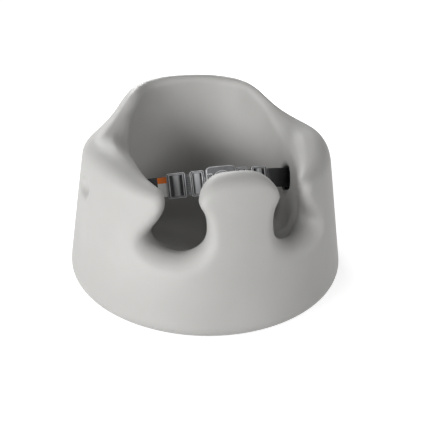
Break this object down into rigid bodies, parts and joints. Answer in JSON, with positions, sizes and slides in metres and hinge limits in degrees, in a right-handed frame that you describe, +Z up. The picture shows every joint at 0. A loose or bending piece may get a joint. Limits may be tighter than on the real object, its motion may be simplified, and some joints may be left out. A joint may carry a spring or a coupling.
{
  "type": "baby floor seat",
  "caption": "Moulded foam floor seat for a baby with a high back, armrests, leg openings around a middle post, and a webbing lap belt with a centre-release buckle.",
  "frame": {"origin": "centre of the round base, on the floor", "axes": "+Z up; the seat faces -Y; +X is to the right seen from the front"},
  "size_m": [0.38, 0.38, 0.23],
  "materials": {
    "foam": "soft matt moulded foam with a smooth skin",
    "webbing": "woven polyester",
    "hardware_plastic": "satin moulded plastic",
    "button_plastic": "satin moulded plastic",
    "label": "woven label",
    "socket_plastic": "dark moulded plastic",
    "steel": "plain steel"
  },
  "bodies": {
    "seat": {"seat_body": "foam", "left_lap_strap": "webbing", "right_lap_strap": "webbing", "strap_label": "label", "left_anchor_socket": "socket_plastic", "right_anchor_socket": "socket_plastic", "left_anchor_pin": "steel", "right_anchor_pin": "steel", "crotch_strap": "webbing", "crotch_anchor_plate": "hardware_plastic", "buckle_front": "hardware_plastic", "buckle_back": "hardware_plastic", "button_spring": "steel"},
    "left_tongue_unit": {"left_tongue": "hardware_plastic", "left_tongue_webbing": "webbing"},
    "right_tongue_unit": {"right_tongue": "hardware_plastic", "right_tongue_webbing": "webbing"},
    "left_adjuster_unit": {"left_adjuster": "hardware_plastic", "left_adjuster_fold": "webbing"},
    "right_adjuster_unit": {"right_adjuster": "hardware_plastic", "right_adjuster_fold": "webbing"},
    "button": {"release_button": "button_plastic"}
  },
  "joints": [
    {"name": "left_tongue_slide", "type": "slide", "parent": "seat", "child": "left_tongue_unit", "axis": [-0.9659, 0.2241, -0.1294], "range_m": [0, 0.014]},
    {"name": "right_tongue_slide", "type": "slide", "parent": "seat", "child": "right_tongue_unit", "axis": [0.9659, 0.2241, -0.1294], "range_m": [0, 0.014]},
    {"name": "left_adjuster_slide", "type": "slide", "parent": "left_tongue_unit", "child": "left_adjuster_unit", "axis": [-0.9659, 0.2241, -0.1294], "range_m": [0, 0.005]},
    {"name": "right_adjuster_slide", "type": "slide", "parent": "right_tongue_unit", "child": "right_adjuster_unit", "axis": [0.9659, 0.2241, -0.1294], "range_m": [0, 0.005]},
    {"name": "button_press", "type": "slide", "parent": "seat", "child": "button", "axis": [0, 0.866, -0.5], "range_m": [0, 0.0025], "stiffness_N_per_m": 900, "springref_m": -0.001, "deforming": ["button_spring"]}
  ]
}
